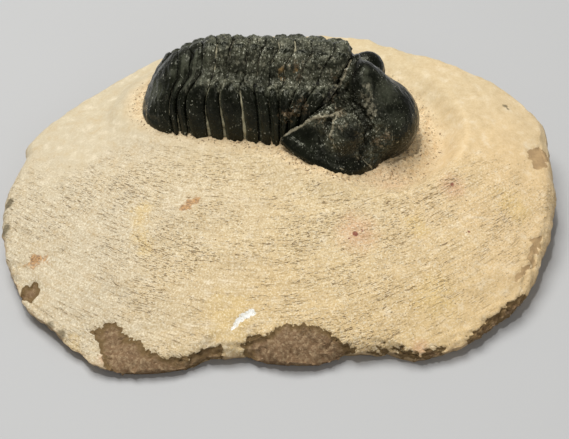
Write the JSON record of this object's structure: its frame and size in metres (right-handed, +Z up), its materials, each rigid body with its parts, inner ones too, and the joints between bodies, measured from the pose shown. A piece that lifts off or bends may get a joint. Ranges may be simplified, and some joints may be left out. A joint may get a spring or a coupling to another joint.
{
  "type": "phacops trilobite",
  "caption": "Black trilobite fossil with a domed head, large eyes and a ribbed arched body, lying on an oval slab of tan limestone with a flat underside.",
  "frame": {"origin": "middle of the slab's flat underside, under the middle of its plan", "axes": "+X along the slab's length, towards the trilobite's head end; +Y across the slab, towards the edge behind the trilobite; +Z up"},
  "size_m": [0.1152, 0.0907, 0.036],
  "materials": {
    "limestone": "rough stone, tooled and dusty",
    "head_calcite": "satin black calcite, pitted on the eyes",
    "thorax_calcite": "satin black calcite with pale stone in the furrows",
    "tail_calcite": "satin black calcite, smooth"
  },
  "bodies": {
    "root": {"matrix_slab": "limestone", "head_shield": "head_calcite", "thorax_ring_01": "thorax_calcite", "thorax_ring_02": "thorax_calcite", "thorax_ring_03": "thorax_calcite", "thorax_ring_04": "thorax_calcite", "thorax_ring_05": "thorax_calcite", "thorax_ring_06": "thorax_calcite", "thorax_ring_07": "thorax_calcite", "thorax_ring_08": "thorax_calcite", "thorax_ring_09": "thorax_calcite", "thorax_ring_10": "thorax_calcite", "thorax_ring_11": "thorax_calcite", "tail_shield": "tail_calcite"}
  },
  "joints": []
}
